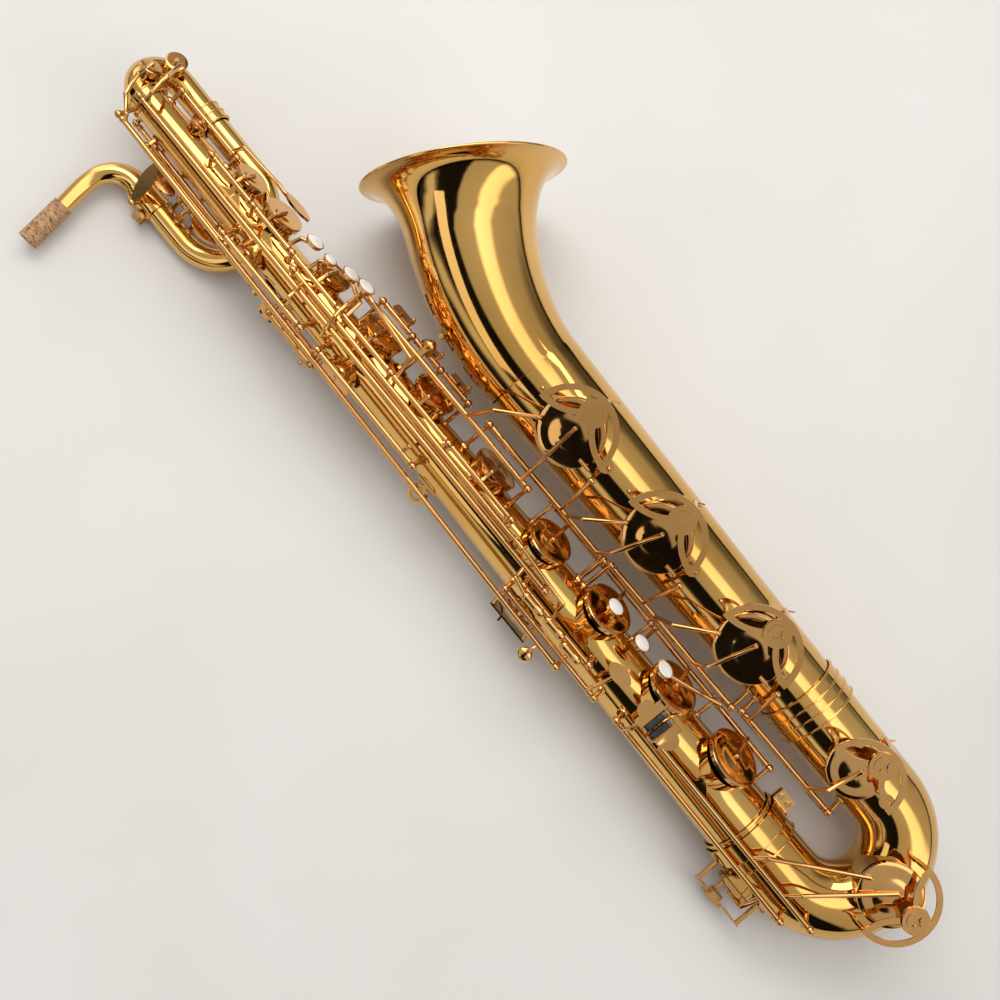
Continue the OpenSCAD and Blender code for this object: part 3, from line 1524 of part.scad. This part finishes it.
body_tube();
bottom_bow();
bell();
top_bow();
upper_loop();
neck_receiver();
ferrules();
bow_clamp();
clamp_screws();
bell_brace();
key_posts();
hinge_rods();
key_guards();
guard_bumpers();
guard_felts();
thumb_hook();
thumb_rest();
strap_ring();
vent_chimneys();
needle_springs();
rod_bridge();
neck_tube();
neck_tenon();
neck_cork();
receiver_screw();
low_a_key();
low_b_flat_key();
low_b_key();
low_c_sharp_key();
low_c_key();
e_flat_key();
d_key();
e_key();
f_key();
f_sharp_key();
g_sharp_key();
g_key();
a_key();
bis_key();
b_key();
c_key();
side_f_sharp_key();
side_c_lever();
side_c_key();
side_b_flat_lever();
side_b_flat_key();
high_e_key();
high_f_sharp_key();
front_f_key();
palm_d_key();
palm_e_flat_key();
octave_lever();
octave_vent_key();
water_key();
c_roller();
e_flat_roller();
c_sharp_lever();
b_lever();
b_flat_lever();
low_a_lever();
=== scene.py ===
"""Looks for the baritone saxophone: lacquered brass, pearls, pads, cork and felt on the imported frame."""

import json
import math

import bpy
import numpy as np
from mathutils import Matrix, Vector

# The model was drawn flat, then rolled, pitched and shifted onto the surface it lies on.
LIE_ROLL = math.radians(9.80)
LIE_PITCH = math.radians(2.29)
LIE_SHIFT = Vector((0.00026, -0.02947, 0.0585))

# The camera looks straight down on the flat drawing.
CAMERA_HEIGHT = 1.109
CAMERA_TURN = math.radians(50.7)
LENS = 43.2

# Brightness of the room that the brass mirrors, across the tubes from the camera's lower left (0) to its
# upper right (1)
ROOM = [
    (0.00, 0.010), (0.03, 0.02), (0.05, 0.36), (0.08, 0.36), (0.10, 0.08), (0.12, 0.006), (0.305, 0.004),
    (0.33, 0.26), (0.54, 0.30), (0.585, 1.00), (0.73, 0.86), (0.78, 0.30), (0.95, 0.24), (1.00, 0.02),
]
ROOM_LEVEL = 2.0
BAND_BEND = 0.10
HORIZON_HEIGHT = (0.03, 0.14)
HORIZON_LEVEL = 0.05
BACKDROP_LEVEL = 0.72
FLOOR_REACH = 9.0

SMOOTH_ANGLE = math.radians(38)
WELD = 2e-6

# Discs inside the keys, in millimetres
PEARL_THICK = 3.4
PEARL_WIDEST = 17.0
PAD_THICK = 3.9
THICK_SLACK = 0.2

# A disc is at least this round and this many times wider than thick
DISC_ROUND = 0.97
DISC_FLAT = 2.5


def lying():
    """Matrix from the flat drawing to the row frame."""
    turn = Matrix.Rotation(LIE_PITCH, 4, "Y") @ Matrix.Rotation(LIE_ROLL, 4, "X")
    return Matrix.Translation(LIE_SHIFT) @ turn


def add_camera():
    data = bpy.data.cameras.new("camera")
    data.lens = LENS
    data.clip_start = 0.01
    camera = bpy.data.objects.new("camera", data)
    bpy.context.scene.collection.objects.link(camera)
    above = Matrix.Translation((0, 0, CAMERA_HEIGHT)) @ Matrix.Rotation(CAMERA_TURN, 4, "Z")
    camera.matrix_world = lying() @ above
    bpy.context.scene.camera = camera


add_camera()
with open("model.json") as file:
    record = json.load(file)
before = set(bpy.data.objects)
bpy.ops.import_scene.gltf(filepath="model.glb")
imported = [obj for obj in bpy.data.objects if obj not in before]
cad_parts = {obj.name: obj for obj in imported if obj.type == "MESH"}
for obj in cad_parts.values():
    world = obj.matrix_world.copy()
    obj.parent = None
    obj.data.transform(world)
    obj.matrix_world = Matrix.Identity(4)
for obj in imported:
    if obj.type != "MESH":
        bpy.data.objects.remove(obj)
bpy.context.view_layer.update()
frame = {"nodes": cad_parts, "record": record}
nodes = frame["nodes"]


# ---------------------------------------------------------------- node helpers
class Tree:
    """A short way to add and join the nodes of a material or world."""

    def __init__(self, tree):
        self.tree = tree

    def add(self, kind, settings=None, **inputs):
        node = self.tree.nodes.new(kind)
        for key, value in (settings or {}).items():
            setattr(node, key, value)
        for key, value in inputs.items():
            self.put(node, key.replace("_", " "), value)
        return node

    def put(self, node, key, value):
        socket = node.inputs[int(key) if key.isdigit() else key]
        if isinstance(value, bpy.types.NodeSocket):
            self.tree.links.new(value, socket)
        else:
            socket.default_value = value

    def noise(self, where, scale, detail=3.0, rough=0.5):
        node = self.add("ShaderNodeTexNoise", None, Vector=where, Scale=scale, Detail=detail, Roughness=rough)
        return node.outputs["Fac"]

    def ramp(self, fac, stops):
        """Colour ramp with stops of (place, grey or colour)."""
        node = self.add("ShaderNodeValToRGB", None, Fac=fac)
        points = node.color_ramp.elements
        while len(points) < len(stops):
            points.new(0.5)
        for point, (place, colour) in zip(points, stops):
            point.position = place
            point.color = (*colour, 1) if isinstance(colour, tuple) else (colour, colour, colour, 1)
        return node.outputs["Color"]

    def remap(self, value, low, high, to_low, to_high):
        """Value carried from one range to another, and held inside it."""
        node = self.add("ShaderNodeMapRange", {"clamp": True})
        self.put(node, "Value", value)
        for key, number in (("From Min", low), ("From Max", high), ("To Min", to_low), ("To Max", to_high)):
            self.put(node, key, number)
        return node.outputs["Result"]

    def calc(self, kind, a, b):
        node = self.add("ShaderNodeMath", {"operation": kind})
        self.put(node, "0", a)
        self.put(node, "1", b)
        return node.outputs["Value"]

    def scaled(self, where, scale):
        node = self.add("ShaderNodeMapping", {"vector_type": "POINT"}, Vector=where, Scale=scale)
        return node.outputs["Vector"]

    def tint(self, base, marks):
        """One colour multiplied by another; the Mix node's colour sockets have no names of their own."""
        node = self.add("ShaderNodeMix", {"data_type": "RGBA", "blend_type": "MULTIPLY"})
        for key, value in (("Factor", 1.0), ("6", base), ("7", marks)):
            self.put(node, key, value)
        return node.outputs[2]

    def bump(self, height, distance, strength, under=None):
        node = self.add("ShaderNodeBump", None, Height=height, Distance=distance, Strength=strength)
        if under is not None:
            self.put(node, "Normal", under)
        return node.outputs["Normal"]


def new_material(name):
    """Material, its Tree, its shader node and the object coordinates."""
    material = bpy.data.materials.new(name)
    material.use_nodes = True
    tree = Tree(material.node_tree)
    shader = material.node_tree.nodes["Principled BSDF"]
    where = tree.add("ShaderNodeTexCoord").outputs["Object"]
    return material, tree, shader, where


# ------------------------------------------------------------------- materials
def brass(name, pale, deep, gloss, dull):
    """Polished brass under clear gold lacquer, with soft tone changes, hairlines and a little haze."""
    material, tree, shader, where = new_material(name)
    tone = tree.noise(where, 9.0, 4.0)
    tree.put(shader, "Base Color", tree.ramp(tone, [(0.35, deep), (0.65, pale)]))
    shader.inputs["Metallic"].default_value = 1.0
    haze = tree.noise(where, 60.0, 6.0, 0.65)
    tree.put(shader, "Roughness", tree.remap(haze, 0.35, 0.75, gloss, dull))
    hairline = tree.noise(tree.scaled(where, (60.0, 900.0, 900.0)), 1.0, 2.0)
    ripple = tree.noise(where, 34.0, 2.0)
    under = tree.bump(ripple, 0.0004, 0.05)
    tree.put(shader, "Normal", tree.bump(hairline, 0.00002, 0.06, under))
    shader.inputs["Coat Weight"].default_value = 0.35
    shader.inputs["Coat Roughness"].default_value = 0.03
    shader.inputs["Coat Tint"].default_value = (1.0, 0.9, 0.68, 1)
    return material


def steel(name, pale, deep, gloss):
    """Turned rod: fine rings round the long axis and darker oil marks."""
    material, tree, shader, where = new_material(name)
    stain = tree.noise(where, 45.0, 5.0, 0.6)
    tree.put(shader, "Base Color", tree.ramp(stain, [(0.35, deep), (0.62, pale)]))
    shader.inputs["Metallic"].default_value = 1.0
    rings = tree.noise(tree.scaled(where, (2600.0, 40.0, 40.0)), 1.0, 1.0)
    tree.put(shader, "Roughness", tree.remap(rings, 0.3, 0.7, gloss, gloss + 0.12))
    tree.put(shader, "Normal", tree.bump(rings, 0.00002, 0.2))
    return material


def cork(name):
    """Bare cork: tan ground, dark lenticels and a slightly torn surface."""
    material, tree, shader, where = new_material(name)
    ground = tree.noise(where, 220.0, 5.0, 0.65)
    tans = [(0.3, (0.30, 0.15, 0.07)), (0.55, (0.50, 0.29, 0.15)), (0.75, (0.64, 0.42, 0.24))]
    pores = tree.noise(tree.scaled(where, (260.0, 700.0, 260.0)), 1.0, 2.0)
    marks = tree.ramp(pores, [(0.56, (1.0, 1.0, 1.0)), (0.66, (0.30, 0.20, 0.15))])
    tree.put(shader, "Base Color", tree.tint(tree.ramp(ground, tans), marks))
    tree.put(shader, "Roughness", tree.remap(ground, 0.3, 0.7, 0.72, 0.92))
    tree.put(shader, "Normal", tree.bump(pores, 0.0004, 0.7))
    return material


def felt(name, pale, deep):
    """Dense felt: matted fibres, soft sheen."""
    material, tree, shader, where = new_material(name)
    fibres = tree.noise(tree.scaled(where, (1400.0, 900.0, 1400.0)), 1.0, 4.0, 0.7)
    tree.put(shader, "Base Color", tree.ramp(fibres, [(0.3, deep), (0.7, pale)]))
    tree.put(shader, "Roughness", tree.remap(fibres, 0.2, 0.8, 0.82, 0.98))
    tree.put(shader, "Normal", tree.bump(fibres, 0.0005, 0.8))
    shader.inputs["Sheen Weight"].default_value = 0.5
    shader.inputs["Sheen Roughness"].default_value = 0.5
    return material


def leather(name):
    """Brown pad leather with uneven tanning and a fine grain."""
    material, tree, shader, where = new_material(name)
    cells = tree.add("ShaderNodeTexVoronoi", {"feature": "F1"}, Vector=where, Scale=1500.0)
    tone = tree.noise(where, 120.0, 4.0)
    browns = [(0.35, (0.16, 0.065, 0.025)), (0.65, (0.30, 0.14, 0.06))]
    tree.put(shader, "Base Color", tree.ramp(tone, browns))
    tree.put(shader, "Roughness", tree.remap(tone, 0.3, 0.7, 0.42, 0.6))
    tree.put(shader, "Normal", tree.bump(cells.outputs["Distance"], 0.0002, 0.5))
    return material


def pearl(name):
    """Mother of pearl: milky layers with a faint green and pink play, under a clear polish."""
    material, tree, shader, where = new_material(name)
    layers = tree.noise(tree.scaled(where, (90.0, 170.0, 90.0)), 1.0, 3.0, 0.6)
    milks = [
        (0.30, (0.62, 0.68, 0.66)), (0.45, (0.80, 0.80, 0.76)),
        (0.60, (0.88, 0.84, 0.82)), (0.75, (0.70, 0.76, 0.78)),
    ]
    tree.put(shader, "Base Color", tree.ramp(layers, milks))
    tree.put(shader, "Roughness", tree.remap(layers, 0.3, 0.7, 0.12, 0.26))
    shader.inputs["Coat Weight"].default_value = 0.8
    shader.inputs["Coat Roughness"].default_value = 0.04
    shader.inputs["Subsurface Weight"].default_value = 0.15
    shader.inputs["Subsurface Radius"].default_value = (0.002, 0.002, 0.002)
    return material


def black_plastic(name):
    """Polished black roller or rest, with dust and rubbed patches."""
    material, tree, shader, where = new_material(name)
    wear = tree.noise(where, 240.0, 5.0, 0.6)
    blacks = [(0.5, (0.010, 0.009, 0.009)), (0.8, (0.045, 0.040, 0.036))]
    tree.put(shader, "Base Color", tree.ramp(wear, blacks))
    tree.put(shader, "Roughness", tree.remap(wear, 0.3, 0.75, 0.1, 0.32))
    tree.put(shader, "Normal", tree.bump(wear, 0.00005, 0.2))
    shader.inputs["Coat Weight"].default_value = 0.5
    shader.inputs["Coat Roughness"].default_value = 0.05
    return material


def floor_material():
    """Pale matt studio sheet with the faintest mottling."""
    material, tree, shader, where = new_material("pale_floor")
    mottle = tree.noise(where, 3.0, 3.0)
    pales = [(0.35, (0.72, 0.71, 0.70)), (0.65, (0.755, 0.75, 0.745))]
    tree.put(shader, "Base Color", tree.ramp(mottle, pales))
    grain = tree.noise(where, 900.0, 2.0)
    tree.put(shader, "Normal", tree.bump(grain, 0.0001, 0.1))
    shader.inputs["Roughness"].default_value = 0.9
    return material


looks = {
    "lacquered_brass": brass("lacquered_brass", (0.80, 0.50, 0.16), (0.68, 0.39, 0.10), 0.045, 0.11),
    "lever_brass": brass("lever_brass", (0.76, 0.45, 0.17), (0.62, 0.33, 0.11), 0.06, 0.16),
    "hinge_steel": steel("hinge_steel", (0.72, 0.46, 0.24), (0.48, 0.27, 0.13), 0.12),
    "spring_steel": steel("spring_steel", (0.20, 0.22, 0.30), (0.08, 0.08, 0.11), 0.2),
    "cork": cork("cork"),
    "felt": felt("felt", (0.30, 0.20, 0.13), (0.15, 0.09, 0.055)),
    "roller": black_plastic("roller"),
    "rest_plastic": black_plastic("rest_plastic"),
    "pad_leather": leather("pad_leather"),
    "pearl": pearl("pearl"),
}


# -------------------------------------------------- shading of the CAD's nodes
def smoothing_group():
    """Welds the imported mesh's seams and shades it smooth up to a sharp angle, leaving the mesh as it is."""
    group = bpy.data.node_groups.new("smooth_faces", "GeometryNodeTree")
    group.interface.new_socket("Geometry", in_out="INPUT", socket_type="NodeSocketGeometry")
    group.interface.new_socket("Geometry", in_out="OUTPUT", socket_type="NodeSocketGeometry")
    tree = Tree(group)
    start = tree.add("NodeGroupInput")
    end = tree.add("NodeGroupOutput")
    weld = tree.add("GeometryNodeMergeByDistance", None, Geometry=start.outputs["Geometry"], Distance=WELD)
    faces = tree.add("GeometryNodeSetShadeSmooth", {"domain": "FACE"}, Geometry=weld.outputs["Geometry"])
    angle = tree.add("GeometryNodeInputMeshEdgeAngle").outputs["Unsigned Angle"]
    gentle = tree.add("FunctionNodeCompare", {"data_type": "FLOAT", "operation": "LESS_THAN"})
    tree.put(gentle, "A", angle)
    tree.put(gentle, "B", SMOOTH_ANGLE)
    edges = tree.add("GeometryNodeSetShadeSmooth", {"domain": "EDGE"}, Geometry=faces.outputs["Geometry"])
    tree.put(edges, "Shade Smooth", gentle.outputs["Result"])
    tree.put(end, "Geometry", edges.outputs["Geometry"])
    return group


def loose_parts(mesh):
    """Number of the separate solid that each polygon belongs to, and each solid's corners."""
    points = np.array([v.co for v in mesh.vertices], float).reshape(-1, 3)
    keys, same = np.unique(np.round(points / WELD).astype(np.int64), axis=0, return_inverse=True)
    same = same.reshape(-1)
    parent = list(range(len(keys)))

    def root(i):
        while parent[i] != i:
            parent[i] = parent[parent[i]]
            i = parent[i]
        return i

    corners = [[same[v] for v in polygon.vertices] for polygon in mesh.polygons]
    for corner in corners:
        first = root(corner[0])
        for other in corner[1:]:
            parent[root(other)] = first
    solid = [root(corner[0]) for corner in corners]
    owner = np.array([root(i) for i in same])
    return solid, {part: points[owner == part] for part in set(solid)}


def disc_look(points):
    """Name of the look for a thin round solid, told by its thickness, or None for any other solid."""
    middle = points - points.mean(0)
    turned = middle @ np.linalg.eigh(middle.T @ middle)[1]
    thin, wide, long = sorted(np.ptp(turned, axis=0) * 1000)
    if wide < DISC_ROUND * long or wide < DISC_FLAT * thin:
        return None
    if abs(thin - PEARL_THICK) < THICK_SLACK and wide < PEARL_WIDEST:
        return "pearl"
    return "pad_leather" if abs(thin - PAD_THICK) < THICK_SLACK else None


def dress_discs(mesh):
    """Gives the pads and finger pearls in a key's mesh their own looks, face by face."""
    solid, points = loose_parts(mesh)
    for part, corners in points.items():
        look = disc_look(corners)
        if look is None:
            continue
        mesh.materials.append(looks[look])
        for polygon, owner in zip(mesh.polygons, solid):
            if owner == part:
                polygon.material_index = len(mesh.materials) - 1


smooth = smoothing_group()
for subpart in frame["record"]["subparts"]:
    node = nodes[subpart["node"]]
    node.data.materials.clear()
    node.data.materials.append(looks[subpart["material_slot"]])
    if subpart["node"].endswith("_key"):
        dress_discs(node.data)
    modifier = node.modifiers.new("smooth_faces", "NODES")
    modifier.node_group = smooth


# ------------------------------------------------------- floor, light and view
def add_floor():
    """Level sheet under the instrument, which reaches far past the camera's view."""
    mesh = bpy.data.meshes.new("floor")
    corners = [(x * FLOOR_REACH, y * FLOOR_REACH, 0) for x, y in ((-1, -1), (1, -1), (1, 1), (-1, 1))]
    mesh.from_pydata(corners, [], [(0, 1, 2, 3)])
    mesh.materials.append(floor_material())
    floor = bpy.data.objects.new("floor", mesh)
    bpy.context.scene.collection.objects.link(floor)


def add_panel(name, place, size, power, colour):
    """Soft panel light aimed at the middle of the instrument."""
    data = bpy.data.lights.new(name, "AREA")
    data.shape = "RECTANGLE"
    data.size, data.size_y = size
    data.energy = power
    data.color = colour
    light = bpy.data.objects.new(name, data)
    bpy.context.scene.collection.objects.link(light)
    light.location = place
    light.rotation_euler = (-Vector(place)).to_track_quat("-Z", "Y").to_euler()


def add_world():
    """Pale room with dark flags above the tubes, so that the polished brass has something to mirror."""
    world = bpy.data.worlds.new("studio")
    bpy.context.scene.world = world
    world.use_nodes = True
    tree = Tree(world.node_tree)
    background = world.node_tree.nodes["Background"]
    way = tree.add("ShaderNodeTexCoord").outputs["Generated"]
    parts = tree.add("ShaderNodeSeparateXYZ", None, Vector=way).outputs
    wobble = tree.noise(way, 2.2, 2.0)
    # Share of the direction that points across the tubes, towards the bell
    across = tree.calc("MULTIPLY", parts["Y"], math.cos(LIE_ROLL))
    across = tree.calc("ADD", across, tree.calc("MULTIPLY", parts["Z"], math.sin(LIE_ROLL)))
    across = tree.calc("ADD", across, tree.calc("MULTIPLY", tree.calc("SUBTRACT", wobble, 0.5), BAND_BEND))
    shade = tree.ramp(tree.remap(across, -1.0, 1.0, 0.0, 1.0), ROOM)
    horizon = tree.remap(parts["Z"], *HORIZON_HEIGHT, HORIZON_LEVEL, 1.0)
    level = tree.calc("MULTIPLY", tree.calc("MULTIPLY", shade, horizon), ROOM_LEVEL)
    # Seen straight on, the room is as plain and pale as the floor
    seen = tree.add("ShaderNodeLightPath").outputs["Is Camera Ray"]
    mix = tree.add("ShaderNodeMix", {"data_type": "FLOAT"})
    for key, value in (("Factor", seen), ("A", level), ("B", BACKDROP_LEVEL)):
        tree.put(mix, key, value)
    background.inputs["Color"].default_value = (1.0, 0.98, 0.94, 1)
    tree.put(background, "Strength", mix.outputs["Result"])


add_floor()
add_world()
add_panel("window", (-0.8, 0.8, 1.6), (2.2, 0.7), 16, (1.0, 0.97, 0.93))
add_panel("fill", (-0.8, -1.5, 1.4), (1.8, 0.6), 4, (1.0, 0.95, 0.88))

view = bpy.context.scene.view_settings
view.view_transform = "Standard"
